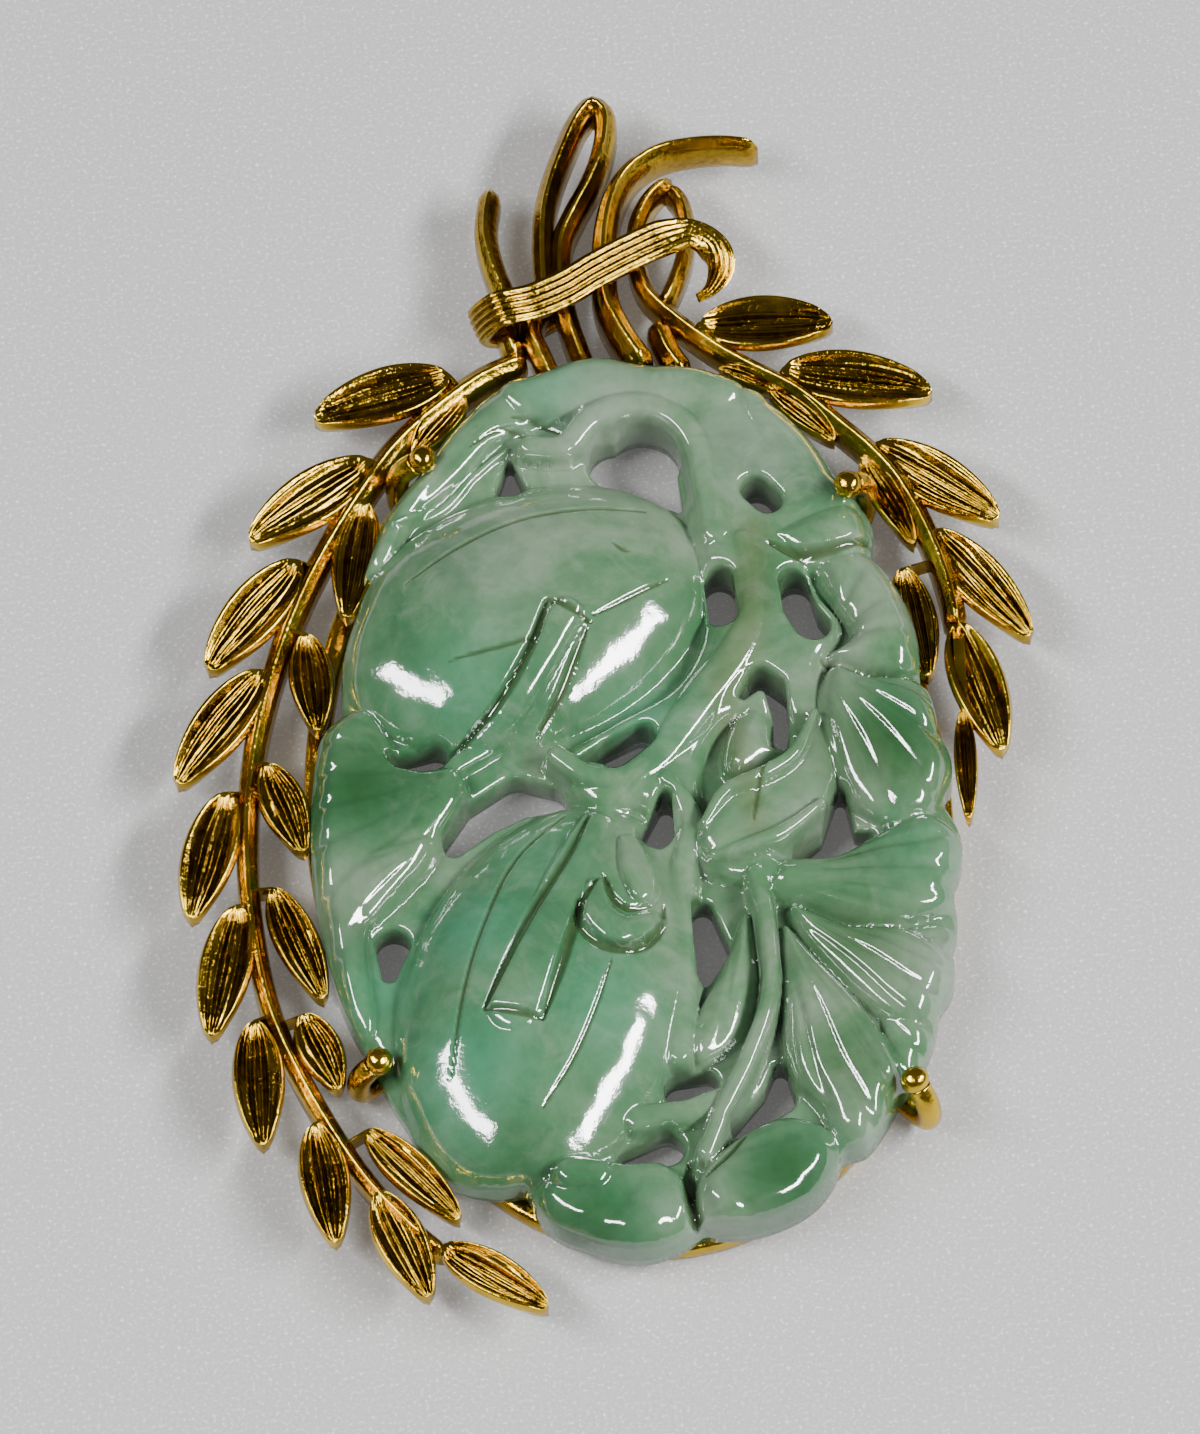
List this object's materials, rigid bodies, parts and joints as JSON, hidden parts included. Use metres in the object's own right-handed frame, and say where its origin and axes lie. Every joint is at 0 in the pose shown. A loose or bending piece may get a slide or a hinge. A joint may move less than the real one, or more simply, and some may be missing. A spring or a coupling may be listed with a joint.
{
  "type": "carved plaque in a branch setting",
  "caption": "Oval stone plaque carved with two melons among pierced leaves and vines, held by claws in a metal setting of two leafy branches tied together at the top",
  "frame": {"origin": "on the table under the middle of the whole piece's bounding box, the piece lying on its back", "axes": "+X to the right as the carved face is seen, +Y along the plaque towards the tied stems, +Z out of the carved face"},
  "size_m": [0.0416, 0.065, 0.0068],
  "materials": {
    "jade": "polished, slightly translucent green and grey-green jadeite",
    "gold": "polished yellow gold, darker in its grooves"
  },
  "bodies": {
    "root": {"jade_carving": "jade", "setting_rim": "gold", "left_branch": "gold", "right_branch": "gold", "tall_loop": "gold", "hooked_stem": "gold", "tie_band": "gold"}
  },
  "joints": []
}
